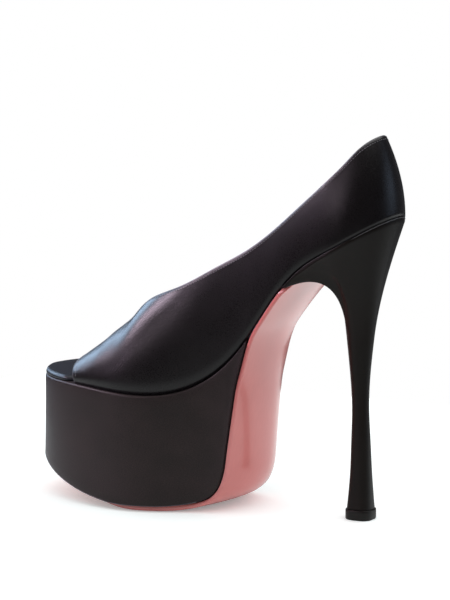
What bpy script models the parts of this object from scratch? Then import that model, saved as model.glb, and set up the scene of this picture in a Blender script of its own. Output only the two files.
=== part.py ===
"""Peep-toe platform pump for the left foot: satin upper, covered platform, flared high heel, leather sole.

The shoe stands on the floor at z = 0 with its toe towards -Y. Sizes are in millimetres and meshes in metres.
A station is a distance along the shoe towards the toe. The outer side (+X) is the little-toe side.
"""

import math

import bmesh
import bpy
import numpy as np

MM = 0.001
GAP = 0.3  # clearance between pieces that touch

# Driving dimensions
HEEL_BACK = 4.0  # station of the back of the heel
TOE_TIP = 202.0  # station of the tip of the toe
WALL = 1.6  # satin, stiffener and lining together
SOLE = 2.0  # leather outsole
SOLE_BALL = 2.7  # it is thicker under the ball of the foot
SOLE_TOE = 1.0  # and thinner at the toe
INSOLE = 2.8  # covered and padded insole board
INSOLE_INSET = 3.7  # the insole lies this far inside the last's edge within the upper
TOE_INSET = 0.5  # and this far at the open toe
HEEL_ROUND = 28.0  # stations over which the back of the heel is rounded in plan
TIP_HEIGHT = 5.0  # hard top piece under the heel

# The last: height of the edge where upper and sole meet, and half widths to the outer and inner side.
# The rounding of heel and toe is applied to these half widths afterwards.
LAST_COLUMNS = ("station", "edge", "outer", "inner")
LAST = (
    (4, 149.8, 26.5, 26.5),
    (12, 145.0, 26.5, 26.5),
    (28, 135.1, 26.8, 26.2),
    (47, 122.8, 26.4, 24.4),
    (60, 108.3, 25.8, 20.8),
    (75, 87.0, 25.4, 18.6),
    (88, 72.6, 26.8, 23.4),
    (102, 63.1, 31.0, 28.6),
    (116, 59.1, 37.4, 35.2),
    (130, 58.7, 42.2, 40.6),
    (146, 59.7, 43.2, 42.8),
    (164, 60.7, 43.2, 43.2),
    (202, 60.2, 43.2, 43.2),
)
TOE_ROUND = {"outer": 67.0, "inner": 60.0}  # stations over which each side curves in to the toe tip
TOE_SWING = -1.5  # the toe tip lies this far to the inner side
SWING_FROM = 110.0  # the swing starts at this station

# The upper: height of its top line, and the top line's half width as a share of the last's half width.
# Forward of the throat the share is nought and the height is that of the vamp's ridge.
TOP_COLUMNS = ("station", "height", "spread")
TOP = (
    (13.3, 187.8, 0.72),
    (17.0, 185.0, 0.72),
    (21.0, 180.9, 0.73),
    (26.0, 174.6, 0.75),
    (33.0, 167.0, 0.78),
    (45.0, 156.0, 0.82),
    (60.0, 142.8, 0.85),
    (76.0, 131.0, 0.87),
    (92.0, 122.0, 0.86),
    (104.0, 115.4, 0.79),
    (114.0, 110.9, 0.68),
    (122.0, 107.9, 0.59),
    (129.0, 104.8, 0.52),
    (136.0, 100.0, 0.45),
    (142.0, 94.5, 0.375),
    (147.0, 91.4, 0.28),
    (152.5, 88.2, 0.0),
)
THROAT = TOP[-1][0]
RIDGE_COLUMNS = ("station", "height")
RIDGE = (
    (152.5, 88.2),
    (157.0, 84.2),
    (162.0, 80.3),
    (167.0, 76.6),
    (172.0, 72.9),
    (178.0, 68.8),
)
ARCH_RISE, ARCH_SPREAD = 2.3, 2.1  # exponents of the arch of each section
COUNTER_LEAN = 9.3  # the top of the counter leans this far forward
COUNTER_CURVE = 1.9  # and most of that lean is near the top
COUNTER_REACH = 58.0  # stations over which that lean dies away
FEATHER_TUCK = 1.4  # the upper turns in this far where it meets the sole
FEATHER_RISE = 6.0
TOE_OPENING = 166.0  # station of the opening's edge at the sole
OPENING_BULGE = 8.5  # the edge runs this much further forward over the toes
OPENING_BLEND = 13.0

# The line under the platform, from the toe along the floor and up the platform's back. From the platform's
# tail on, the line follows the edge of the last up the waist to the heel. The middle of the platform's back
# stands further to the rear than its sides.
UNDER_COLUMNS = ("station", "height", "bulge")
UNDER = (
    (202.0, 21.4, 0.0),
    (194.0, 17.6, 0.0),
    (184.0, 13.5, 0.0),
    (174.0, 10.1, 0.0),
    (163.0, 7.2, 0.0),
    (152.0, 4.9, 0.0),
    (142.0, 3.4, 0.0),
    (133.0, 3.0, 0.0),
    (115.0, 3.0, 3.0),
    (106.0, 4.0, 4.6),
    (98.0, 5.7, 6.2),
    (92.8, 8.2, 7.5),
    (89.0, 12.4, 8.7),
    (86.0, 20.6, 8.9),
    (84.4, 33.5, 8.2),
    (82.5, 46.6, 7.0),
    (79.9, 63.8, 5.3),
    (77.0, 74.3, 3.6),
    (74.4, 84.0, 2.4),
)
WAIST_STATIONS = (71.4, 67.8, 64.0, 60.4, 57.0, 53.6, 50.2, 46.8)
WAIST_BULGE = 1.8
PLATFORM_TAIL = 74.0  # station where the platform runs out against the waist
PLATFORM_BLEND = 12.0  # the platform's tail fills out over this length
PLATFORM_FLARE = 1.2  # the platform is this much wider at the floor than at its top
PLATFORM_EDGE = 1.2  # rounding of the platform's edges
SOLE_INSET = 1.6  # the outsole's edge lies this far inside the platform's under the forefoot
SOLE_TUCK = 2.5  # and this much further in at the toe
SOLE_BEVEL = 2.0  # its lower edge is sloped in by this much
SOLE_EDGE = 0.3  # small slope of its upper edge, and of its lower edge along the waist
SOLE_INSET_FROM = 84.0  # the inset and the lower slope grow from this station
SOLE_TUCK_FROM = 125.0  # and the toe's inset from this one
SOLE_BLEND = 30.0  # each over this length
SOLE_BALL_FROM = 92.0  # the thicker part starts at this station
SOLE_BALL_BLEND = 20.0  # and is reached over this length
SOLE_TOE_FROM = 128.0  # the sole thins towards the toe from this station
SOLE_TOE_BLEND = 40.0  # over this length

# The heel stem below its flare: back, front and half width at each height, and how square it is in plan
# (2 is an ellipse)
STEM_COLUMNS = ("height", "back", "front", "half", "square")
STEM = (
    (5.3, 17.3, 29.9, 6.3, 2.9),
    (22.0, 18.4, 28.8, 5.2, 2.5),
    (40.0, 19.3, 28.5, 4.6, 2.2),
    (55.0, 20.0, 28.4, 4.25, 2.0),
    (72.0, 19.5, 29.5, 5.0, 2.0),
    (89.0, 17.9, 31.2, 6.8, 2.0),
)
HEEL_WING = 54.2  # station of the tips of the heel's two wings, which run forward along the waist
HEEL_BREAST = 46.3  # station of the heel's front edge between the wings
WING_SHARE = 0.86  # inner side of the wings as a share of the half width
WING_INSET = 4.0  # the outsole is narrower by this much between the wings
WING_INSET_LEAD = 3.0  # that inset starts this far in front of the wings' tips
WING_INSET_BLEND = 6.5  # and is reached over this length
HEEL_LIP = 2.0  # depth of the edge that closes against the end of the outsole
HEEL_INSET = 0.3  # the heel's top edge lies this far inside the last's edge

# How the flare leaves the stem and meets the seat, from the middle of the breast (turn -0.25) past the
# wing (turn 0) round to the back (turn 1): pull of the curve at the stem, and its direction at the seat
# towards the toe, outwards and upwards
FLARE_COLUMNS = ("turn", "pull", "ahead", "out", "up")
FLARE = (
    (-0.25, 60.0, 26.0, 0.0, -4.0),
    (-0.08, 72.0, 44.0, 3.0, -15.0),
    (0.0, 81.3, 56.9, 6.0, -25.3),
    (0.25, 62.0, 18.0, 18.0, 2.0),
    (0.5, 56.0, 0.0, 22.0, 32.0),
    (0.75, 58.0, -13.0, 13.0, 52.0),
    (1.0, 61.0, -21.0, 0.0, 61.0),
)


def spline(rows, columns, key, value):
    """A natural cubic curve through one column of a table, as a function of another column."""
    x = np.array([row[columns.index(key)] for row in rows], float)
    y = np.array([row[columns.index(value)] for row in rows], float)
    if x[0] > x[-1]:
        x, y = x[::-1], y[::-1]
    step = np.diff(x)
    slope = np.diff(y) / step
    size = len(x)
    matrix = np.eye(size)
    right = np.zeros(size)
    for i in range(1, size - 1):
        matrix[i, i - 1 : i + 2] = step[i - 1], 2 * (step[i - 1] + step[i]), step[i]
        right[i] = 6 * (slope[i] - slope[i - 1])
    bend = np.linalg.solve(matrix, right)

    def at(t):
        i = int(np.clip(np.searchsorted(x, t) - 1, 0, size - 2))
        h, a, b = step[i], x[i + 1] - t, t - x[i]
        curved = (bend[i] * a**3 + bend[i + 1] * b**3) / (6 * h)
        straight = (y[i] / h - bend[i] * h / 6) * a + (y[i + 1] / h - bend[i + 1] * h / 6) * b
        return float(curved + straight)

    return at


edge_height = spline(LAST, LAST_COLUMNS, "station", "edge")
full_half = {side: spline(LAST, LAST_COLUMNS, "station", side) for side in ("outer", "inner")}
SIDES = {"outer": 1.0, "inner": -1.0}


def ease(t):
    """Smooth step from 0 to 1."""
    t = min(1.0, max(0.0, t))
    return t * t * (3 - 2 * t)


def swing(station):
    """Sideways place of the shoe's middle line."""
    return TOE_SWING * ease((station - SWING_FROM) / (TOE_TIP - SWING_FROM))


def half_width(station, side):
    """Half width of the last at its edge, rounded off at heel and toe."""
    width = full_half[side](station)
    from_back = (station - HEEL_BACK) / HEEL_ROUND
    if from_back < 1:
        width *= math.sqrt(max(0.0, 1 - (1 - from_back) ** 2))
    into_toe = (station - TOE_TIP) / TOE_ROUND[side] + 1
    if into_toe > 0:
        width *= math.sqrt(max(0.0, 1 - into_toe**2))
    return width


def world(station, across, height):
    """A place on the shoe in metres, before the shoe is centred on its origin."""
    return (across * MM, -station * MM, height * MM)


def make_object(name, points, faces, material, smooth_deg=40.0):
    """One closed piece from shared points and faces, welded where rows of points run together."""
    mesh = bpy.data.meshes.new(name)
    bm = bmesh.new()
    verts = [bm.verts.new(p) for p in points]
    for face in faces:
        corners = list(dict.fromkeys(face))
        if len(corners) > 2:
            bm.faces.new([verts[i] for i in corners])
    bmesh.ops.remove_doubles(bm, verts=bm.verts, dist=0.00002)
    bmesh.ops.dissolve_degenerate(bm, edges=bm.edges, dist=0.000005)
    bmesh.ops.recalc_face_normals(bm, faces=bm.faces)
    bm.to_mesh(mesh)
    bm.free()
    mesh.shade_smooth()
    mesh.set_sharp_from_angle(angle=math.radians(smooth_deg))
    mesh.materials.append(material)
    obj = bpy.data.objects.new(name, mesh)
    bpy.context.scene.collection.objects.link(obj)
    return obj


def make_material(name, colour, roughness, metallic=0.0):
    material = bpy.data.materials.new(name)
    material.use_nodes = True
    shader = material.node_tree.nodes["Principled BSDF"]
    shader.inputs["Base Color"].default_value = (*colour, 1.0)
    shader.inputs["Roughness"].default_value = roughness
    shader.inputs["Metallic"].default_value = metallic
    return material


def stations_between(first, last, count, power=1.0):
    """Stations from first to last; a power above 1 crowds them towards the first."""
    return [first + (last - first) * (i / count) ** power for i in range(count + 1)]


# The upper


top_height = spline(TOP, TOP_COLUMNS, "station", "height")
spread_squared = spline([(s, z, spread**2) for s, z, spread in TOP], TOP_COLUMNS, "station", "spread")
ridge_height = spline(RIDGE, RIDGE_COLUMNS, "station", "height")
UPPER_LEVELS = 12


def counter_lean(station):
    """How far forward the top line stands of the edge below it."""
    return COUNTER_LEAN * (1 - ease((station - HEEL_BACK) / COUNTER_REACH))


def section_arch(station):
    """Rise of the section's arch above the edge, and the arch angle at the top line."""
    if station >= THROAT:
        return ridge_height(station) - edge_height(station), math.pi / 2
    top = station + counter_lean(station)
    spread = math.sqrt(max(0.0, spread_squared(top)))
    share = (1 - spread**ARCH_SPREAD) ** (1 / ARCH_RISE)
    rise = (top_height(top) - edge_height(station)) / share
    return rise, math.asin(min(1.0, share ** (ARCH_RISE / 2)))


def upper_point(station, side, level):
    """A point on the outside of the upper; level runs from 0 at the sole to 1 at the top line or ridge."""
    arch_angle = section_arch(station)[1] * level
    forward = ease((station - (TOE_OPENING - OPENING_BLEND)) / OPENING_BLEND)
    station += OPENING_BULGE * forward * math.sin(arch_angle) ** 1.5
    rise, limit = section_arch(station)
    angle = limit * level
    height = rise * math.sin(angle) ** (2 / ARCH_RISE)
    width = half_width(station, side) * max(0.0, math.cos(angle)) ** (2 / ARCH_SPREAD)
    tuck = FEATHER_TUCK * ease((station - HEEL_BACK) / COUNTER_REACH)
    tuck *= max(0.0, 1 - height / FEATHER_RISE) ** 2
    width -= min(tuck, 0.2 * width)
    top = rise * math.sin(limit) ** (2 / ARCH_RISE)
    lean = counter_lean(station) * (height / top) ** COUNTER_CURVE
    middle = swing(station)
    base = edge_height(station)
    return world(station + lean, middle + SIDES[side] * width, base + height)


def build_upper(material):
    """Satin upper: one wall from the toe opening round the heel and back, joined over the vamp."""
    turn = HEEL_BACK + HEEL_ROUND
    stations = stations_between(HEEL_BACK, turn, 9, 2.0)
    stations += stations_between(turn, 122.0, 14)[1:]
    stations += [THROAT - (THROAT - 122.0) * (1 - i / 9) ** 1.7 for i in range(1, 10)]
    stations += stations_between(THROAT, TOE_OPENING, 7)[1:]
    points, faces = [], []
    rows = {}
    for side in SIDES:
        for i, station in enumerate(stations):
            rows[side, i] = len(points)
            points += [upper_point(station, side, j / UPPER_LEVELS) for j in range(UPPER_LEVELS + 1)]
    for side in SIDES:
        for i in range(len(stations) - 1):
            a, b = rows[side, i], rows[side, i + 1]
            faces += [(a + j, b + j, b + j + 1, a + j + 1) for j in range(UPPER_LEVELS)]
    upper = make_object("upper", points, faces, material)
    shell = upper.modifiers.new("wall", "SOLIDIFY")
    shell.thickness = WALL * MM
    shell.offset = -1.0
    shell.use_even_offset = True
    return upper


# The line under the shoe


def under_path():
    """Rows along the line under platform and waist: station, height, bulge and outward normal."""
    waist = [(s, edge_height(s) - GAP, WAIST_BULGE) for s in WAIST_STATIONS]
    line = np.array(UNDER + tuple(waist), float)
    along = np.concatenate([[0.0], np.cumsum(np.hypot(*np.diff(line[:, :2], axis=0).T))])
    fine = np.arange(0.0, along[-1], 0.5)
    rows = np.stack([np.interp(fine, along, column) for column in line.T], axis=1)
    for _ in range(60):
        rows[1:-1] = (rows[:-2] + 2 * rows[1:-1] + rows[2:]) / 4
    run = np.gradient(rows[:, :2], axis=0)
    run /= np.linalg.norm(run, axis=1)[:, None]
    normal = np.stack([-run[:, 1], run[:, 0]], axis=1)
    picks = [0, 1, 4, 10, 18, 27] + list(range(37, len(rows) - 4, 10)) + [len(rows) - 1]
    return rows[picks], normal[picks]


def loft_faces(rings):
    """Quads between closed rings of the same count, with both ends capped."""
    faces = []
    count = len(rings[0])
    for a, b in zip(rings, rings[1:]):
        faces += [(a[j], a[(j + 1) % count], b[(j + 1) % count], b[j]) for j in range(count)]
    faces.append(tuple(rings[0])[::-1])
    faces.append(tuple(rings[-1]))
    return faces


UNDER_ACROSS = (1.0, 0.8, 0.55, 0.28, 0.0, -0.28, -0.55, -0.8, -1.0)


def add_ring(points, rings, ring):
    rings.append(range(len(points), len(points) + len(ring)))
    points += ring


def across_place(station, share, width):
    """Sideways place at a share of the half width, positive to the outer side."""
    return swing(station) + share * width["outer" if share > 0 else "inner"]


def filled(station):
    """Share of the bulge that the platform takes up; along the waist the leather itself is thicker."""
    return ease((station - PLATFORM_TAIL) / PLATFORM_BLEND)


def build_platform(material):
    """Covered block under the forefoot; its tail runs out along the waist."""
    rows, _ = under_path()
    rings, points = [], []
    for station, low, bulge in rows[rows[:, 0] > PLATFORM_TAIL]:
        high = edge_height(station) - GAP
        wide = {side: half_width(station, side) for side in SIDES}
        walls = {}
        for side, sign in SIDES.items():
            half = wide[side]
            flare = PLATFORM_FLARE * min(1.0, half / 12.0)
            edge = min(PLATFORM_EDGE, 0.3 * (high - low), 0.4 * half)
            profile = (
                (half + flare - 0.5 * edge, low),
                (half + flare, low + 0.5 * edge),
                (half + 0.3 * flare, low + 0.5 * (high - low)),
                (half, high - edge),
                (half - 0.3 * edge, high - 0.3 * edge),
                (half - edge, high),
            )
            walls[side] = [world(station, swing(station) + sign * w, z) for w, z in profile]
        below = []
        for share in reversed(UNDER_ACROSS):
            back = bulge * (1 - share**2) * filled(station)
            below.append(world(station - back, across_place(station, share, wide), low))
        add_ring(points, rings, walls["outer"] + walls["inner"][::-1] + below)
    return make_object("platform", points, loft_faces(rings), material)


def build_outsole(material):
    """Leather sheet along the floor, up the back of the platform and along the waist to the heel."""
    rows, normals = under_path()
    rings, points = [], []
    for (station, low, bulge), (back, down) in zip(rows, normals):
        inset = SOLE_INSET * ease((station - SOLE_INSET_FROM) / SOLE_BLEND)
        inset += SOLE_TUCK * ease((station - SOLE_TUCK_FROM) / SOLE_BLEND)
        inset += WING_INSET * ease((HEEL_WING + WING_INSET_LEAD - station) / WING_INSET_BLEND)
        thick = SOLE + (SOLE_BALL - SOLE) * ease((station - SOLE_BALL_FROM) / SOLE_BALL_BLEND)
        thick += (SOLE_TOE - SOLE_BALL) * ease((station - SOLE_TOE_FROM) / SOLE_TOE_BLEND)
        bevel = SOLE_EDGE + SOLE_BEVEL * ease((station - SOLE_INSET_FROM) / SOLE_BLEND)
        layers = ((GAP, SOLE_EDGE), (GAP + SOLE_EDGE, 0.0), (GAP + 0.6 * thick, 0.0), (GAP + thick, bevel))
        lines = []
        for depth, pull in layers:
            line = []
            for share in UNDER_ACROSS if pull else (1.0, -1.0):
                half = half_width(station, "outer" if share > 0 else "inner")
                reach = max(0.5 * half, half - inset - pull)
                rear = bulge * (1 - (share * reach / max(half, 0.01)) ** 2)
                rear *= filled(station) if depth < 1.0 else 1.0
                across = swing(station) + share * reach
                line.append(world(station - rear + back * depth, across, low + down * depth))
            lines.append(line)
        inner, inner_edge, outer_edge, outer = lines
        outer_side, inner_side = [inner_edge[0], outer_edge[0]], [outer_edge[1], inner_edge[1]]
        add_ring(points, rings, inner[::-1] + outer_side + outer + inner_side)
    return make_object("outsole", points, loft_faces(rings), material)


def build_insole(material):
    """Padded board inside the upper; at the toe opening it comes out to the edge of the platform."""
    first, last = HEEL_BACK + INSOLE_INSET, TOE_TIP - TOE_INSET
    stations = [first + (last - first) * (1 - math.cos(math.pi * i / 44)) / 2 for i in range(45)]
    rings, points = [], []
    for station in stations:
        low = edge_height(station)
        sides = {}
        for side, sign in SIDES.items():
            inset = INSOLE_INSET + (TOE_INSET - INSOLE_INSET) * ease((station - TOE_OPENING - 1.5) / 6.0)
            half = half_width(station, side)
            reach = max(0.0, half - inset)
            if station < first + HEEL_ROUND:
                share = 1 - (station - first) / HEEL_ROUND
                reach = min(reach, (full_half[side](station) - inset) * math.sqrt(max(0.0, 1 - share**2)))
            edge = min(1.0, reach / 6.0)
            profile = (
                (reach - 0.6 * edge, low),
                (reach, low + 0.25 * INSOLE),
                (reach, low + 0.5 * INSOLE),
                (reach - 0.5 * edge, low + 0.78 * INSOLE),
                (reach - 1.6 * edge, low + 0.95 * INSOLE),
                (reach - 3.4 * edge, low + INSOLE),
            )
            sides[side] = [world(station, swing(station) + sign * w, z) for w, z in profile]
        add_ring(points, rings, sides["outer"] + sides["inner"][::-1])
    return make_object("insole", points, loft_faces(rings), material)


# The heel


stem_at = {key: spline(STEM, STEM_COLUMNS, "height", key) for key in STEM_COLUMNS[1:]}
flare_at = {key: spline(FLARE, FLARE_COLUMNS, "turn", key) for key in FLARE_COLUMNS[1:]}
HEEL_SIDE_STEPS, HEEL_FLARE_STEPS = 12, 12
BREAST_PLACES = (0.96, 0.905, WING_SHARE + 0.012, WING_SHARE, 0.6, 0.3)
STEM_TOP = STEM[-1][0]
STEM_FRONT_ANGLE = math.radians(48.0)


def heel_places():
    """Places round the heel as (turn, side share): outer side to the back, inner side, then the breast."""
    places = [(i / HEEL_SIDE_STEPS, 1.0) for i in range(HEEL_SIDE_STEPS + 1)]
    places += [(i / HEEL_SIDE_STEPS, -1.0) for i in reversed(range(HEEL_SIDE_STEPS))]
    breast = [-s for s in BREAST_PLACES] + [0.0] + list(reversed(BREAST_PLACES))
    places += [(-0.25 * (1 - abs(share)), share) for share in breast]
    return places


def stem_angle(turn, share):
    """Angle round the stem from its front, positive to the outer side."""
    return (STEM_FRONT_ANGLE + (math.pi - STEM_FRONT_ANGLE) * max(0.0, turn)) * share


def stem_point(turn, share, height):
    angle = stem_angle(turn, share)
    back, front, half, square = (stem_at[key](height) for key in STEM_COLUMNS[1:])
    middle, reach = (back + front) / 2, (front - back) / 2
    ahead, out = (math.copysign(abs(v) ** (2 / square), v) for v in (math.cos(angle), math.sin(angle)))
    return np.array([middle + reach * ahead, half * out, height])


def seat_point(turn, share, depth, inset):
    """A place on the heel's top edge, or that far below it."""
    wing = ease((abs(share) - WING_SHARE) / (1 - WING_SHARE)) ** 0.5 if turn < 0 else 1.0
    front = HEEL_BREAST + (HEEL_WING - HEEL_BREAST) * wing
    station = front if turn <= 0 else HEEL_BACK + (HEEL_WING - HEEL_BACK) * (1 - math.sin(turn * math.pi / 2))
    side = "outer" if share > 0 else "inner"
    half = half_width(station, side)
    half -= min(inset, half * 0.5)
    rear = 0.8 * depth * max(0.0, 1 - max(0.0, turn) * 4)
    if turn < 0:
        rear += WAIST_BULGE * (1 - share**2) * depth / HEEL_LIP
    rear -= inset * max(0.0, turn * 4 - 3)
    return np.array([station - rear, share * half, edge_height(station) - GAP - depth])


def lip_depth(turn, share):
    """Depth of the heel's edge, which runs out to a thin tip at each wing."""
    away = turn * 6 if turn > 0 else (1 - abs(share)) * 12
    return HEEL_LIP * (0.3 + 0.7 * ease(away))


def build_heel(material):
    """Flared heel: a slender stem that spreads to the seat, hollowed at the breast."""
    places = heel_places()
    rings, points = [], []
    for height in np.linspace(STEM[0][0], STEM_TOP, 10):
        add_ring(points, rings, [world(*stem_point(turn, share, height)) for turn, share in places])
    for step in range(1, HEEL_FLARE_STEPS + 1):
        f = step / HEEL_FLARE_STEPS
        ring = []
        for turn, share in places:
            start = stem_point(turn, share, STEM_TOP)
            end = seat_point(turn, share, lip_depth(turn, share), HEEL_INSET)
            slope = start - stem_point(turn, share, STEM_TOP - 1.0)
            leave = slope * flare_at["pull"](turn)
            arrive = np.array([flare_at["ahead"](turn), share * flare_at["out"](turn), flare_at["up"](turn)])
            p = (2 * f**3 - 3 * f**2 + 1) * start + (3 * f**2 - 2 * f**3) * end
            p += (f**3 - 2 * f**2 + f) * leave + (f**3 - f**2) * arrive
            ring.append(world(*p))
        add_ring(points, rings, ring)
    add_ring(points, rings, [world(*seat_point(turn, share, 0.5, HEEL_INSET)) for turn, share in places])
    inset = HEEL_INSET + 0.6
    add_ring(points, rings, [world(*seat_point(turn, share, 0.0, inset)) for turn, share in places])
    faces = loft_faces(rings)[:-1]
    top = list(rings[-1])
    last = 2 * HEEL_SIDE_STEPS
    faces.append((*top[2::-1], *top[:last:-1], *top[last : last - 3 : -1]))
    faces += [(top[j + 1], top[j], top[last - j], top[last - j - 1]) for j in range(2, HEEL_SIDE_STEPS)]
    return make_object("heel", points, faces, material)


def build_heel_tip(material):
    """Hard top piece under the heel, flat on the floor."""
    places = heel_places()
    rings, points = [], []
    for height, grow in ((0.0, 0.2), (0.5, 0.7), (TIP_HEIGHT - 0.4, 0.7), (TIP_HEIGHT, 0.4)):
        ring = []
        for turn, share in places:
            station, across, _ = stem_point(turn, share, STEM[0][0])
            angle = stem_angle(turn, share)
            ring.append(world(station + grow * math.cos(angle), across + grow * math.sin(angle), height))
        add_ring(points, rings, ring)
    return make_object("heel_tip", points, loft_faces(rings), material)


def centre_on_origin(pieces):
    """Put the middle of the shoe's floor area at the origin."""
    bpy.context.view_layer.update()
    graph = bpy.context.evaluated_depsgraph_get()
    corners = [v.co for piece in pieces for v in piece.evaluated_get(graph).data.vertices]
    low = [min(c[i] for c in corners) for i in range(3)]
    high = [max(c[i] for c in corners) for i in range(3)]
    for piece in pieces:
        for v in piece.data.vertices:
            v.co.x -= (low[0] + high[0]) / 2
            v.co.y -= (low[1] + high[1]) / 2
        piece.data.update()


def remove_old_objects():
    for obj in list(bpy.data.objects):
        bpy.data.objects.remove(obj, do_unlink=True)


def main():
    remove_old_objects()
    satin = {}
    for name in ("upper", "platform", "insole", "heel"):
        satin[name] = make_material(name + "_satin", (0.016, 0.015, 0.017), 0.42)
    leather = make_material("sole_leather", (0.62, 0.3, 0.27), 0.3)
    plastic = make_material("tip_plastic", (0.03, 0.03, 0.032), 0.5)
    pieces = [
        build_upper(satin["upper"]),
        build_platform(satin["platform"]),
        build_insole(satin["insole"]),
        build_outsole(leather),
        build_heel(satin["heel"]),
        build_heel_tip(plastic),
    ]
    centre_on_origin(pieces)


main()
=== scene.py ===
"""Dresses the platform pump: fine satin, leather, folded and stitched edges, on a white studio floor.

Sizes are in millimetres as in the part, and meshes in metres. A station is a distance along the shoe towards
the toe, which points to -Y. The outer side is +X.
"""

import math

import bmesh
import bpy
import numpy as np
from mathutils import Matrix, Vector

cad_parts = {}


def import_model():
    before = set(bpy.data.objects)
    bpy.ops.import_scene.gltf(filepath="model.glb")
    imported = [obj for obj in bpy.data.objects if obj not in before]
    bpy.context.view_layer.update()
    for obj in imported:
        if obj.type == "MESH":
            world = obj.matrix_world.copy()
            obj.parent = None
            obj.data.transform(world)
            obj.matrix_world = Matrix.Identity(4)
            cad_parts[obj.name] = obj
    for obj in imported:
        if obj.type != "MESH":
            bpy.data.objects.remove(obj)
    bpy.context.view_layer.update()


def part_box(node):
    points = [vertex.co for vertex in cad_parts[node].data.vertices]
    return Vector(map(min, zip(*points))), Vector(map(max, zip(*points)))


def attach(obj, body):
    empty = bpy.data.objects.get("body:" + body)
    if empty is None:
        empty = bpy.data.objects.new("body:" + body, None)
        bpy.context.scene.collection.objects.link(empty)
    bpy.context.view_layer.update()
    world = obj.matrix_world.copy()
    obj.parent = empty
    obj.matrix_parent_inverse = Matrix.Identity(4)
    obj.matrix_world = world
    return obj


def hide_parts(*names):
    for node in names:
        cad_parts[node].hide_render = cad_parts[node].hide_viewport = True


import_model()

MM = 0.001
GAP = 0.3  # clearance between pieces that touch

# Driving dimensions, as in the part
HEEL_BACK, TOE_TIP = 4.0, 202.0
WALL = 1.6
SOLE, SOLE_BALL, SOLE_TOE = 2.0, 2.7, 1.0
INSOLE, INSOLE_INSET, TOE_INSET = 2.8, 3.7, 0.5
HEEL_ROUND = 28.0
TIP_HEIGHT = 5.0
TOE_ROUND = {"outer": 67.0, "inner": 60.0}
TOE_SWING, SWING_FROM = -1.5, 110.0

# The last: height of its edge, and half widths before heel and toe are rounded off
LAST_COLUMNS = ("station", "edge", "outer", "inner")
LAST = (
    (4, 149.8, 26.5, 26.5),
    (12, 145.0, 26.5, 26.5),
    (28, 135.1, 26.8, 26.2),
    (47, 122.8, 26.4, 24.4),
    (60, 108.3, 25.8, 20.8),
    (75, 87.0, 25.4, 18.6),
    (88, 72.6, 26.8, 23.4),
    (102, 63.1, 31.0, 28.6),
    (116, 59.1, 37.4, 35.2),
    (130, 58.7, 42.2, 40.6),
    (146, 59.7, 43.2, 42.8),
    (164, 60.7, 43.2, 43.2),
    (202, 60.2, 43.2, 43.2),
)

# The upper's top line, and the ridge of the vamp in front of the throat
TOP_COLUMNS = ("station", "height", "spread")
TOP = (
    (13.3, 187.8, 0.72),
    (17.0, 185.0, 0.72),
    (21.0, 180.9, 0.73),
    (26.0, 174.6, 0.75),
    (33.0, 167.0, 0.78),
    (45.0, 156.0, 0.82),
    (60.0, 142.8, 0.85),
    (76.0, 131.0, 0.87),
    (92.0, 122.0, 0.86),
    (104.0, 115.4, 0.79),
    (114.0, 110.9, 0.68),
    (122.0, 107.9, 0.59),
    (129.0, 104.8, 0.52),
    (136.0, 100.0, 0.45),
    (142.0, 94.5, 0.375),
    (147.0, 91.4, 0.28),
    (152.5, 88.2, 0.0),
)
THROAT = TOP[-1][0]
RIDGE_COLUMNS = ("station", "height")
RIDGE = ((152.5, 88.2), (157.0, 84.2), (162.0, 80.3), (167.0, 76.6), (172.0, 72.9), (178.0, 68.8))
ARCH_RISE, ARCH_SPREAD = 2.3, 2.1
COUNTER_LEAN, COUNTER_CURVE, COUNTER_REACH = 9.3, 1.9, 58.0
FEATHER_TUCK, FEATHER_RISE = 1.4, 6.0
TOE_OPENING, OPENING_BULGE, OPENING_BLEND = 166.0, 8.5, 13.0

# The line under platform and waist, from the toe to the heel: station, height and bulge to the rear
UNDER = (
    (202.0, 21.4, 0.0),
    (194.0, 17.6, 0.0),
    (184.0, 13.5, 0.0),
    (174.0, 10.1, 0.0),
    (163.0, 7.2, 0.0),
    (152.0, 4.9, 0.0),
    (142.0, 3.4, 0.0),
    (133.0, 3.0, 0.0),
    (115.0, 3.0, 3.0),
    (106.0, 4.0, 4.6),
    (98.0, 5.7, 6.2),
    (92.8, 8.2, 7.5),
    (89.0, 12.4, 8.7),
    (86.0, 20.6, 8.9),
    (84.4, 33.5, 8.2),
    (82.5, 46.6, 7.0),
    (79.9, 63.8, 5.3),
    (77.0, 74.3, 3.6),
    (74.4, 84.0, 2.4),
)
WAIST_STATIONS = (71.4, 67.8, 64.0, 60.4, 57.0, 53.6, 50.2, 46.8)
WAIST_BULGE = 1.8
PLATFORM_TAIL, PLATFORM_BLEND, PLATFORM_FLARE, PLATFORM_EDGE = 74.0, 12.0, 1.2, 1.2
SOLE_INSET, SOLE_TUCK, SOLE_BEVEL, SOLE_EDGE = 1.6, 2.5, 2.0, 0.3
SOLE_INSET_FROM, SOLE_TUCK_FROM, SOLE_BLEND = 84.0, 125.0, 30.0
SOLE_BALL_FROM, SOLE_BALL_BLEND = 92.0, 20.0
SOLE_TOE_FROM, SOLE_TOE_BLEND = 128.0, 40.0

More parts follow.
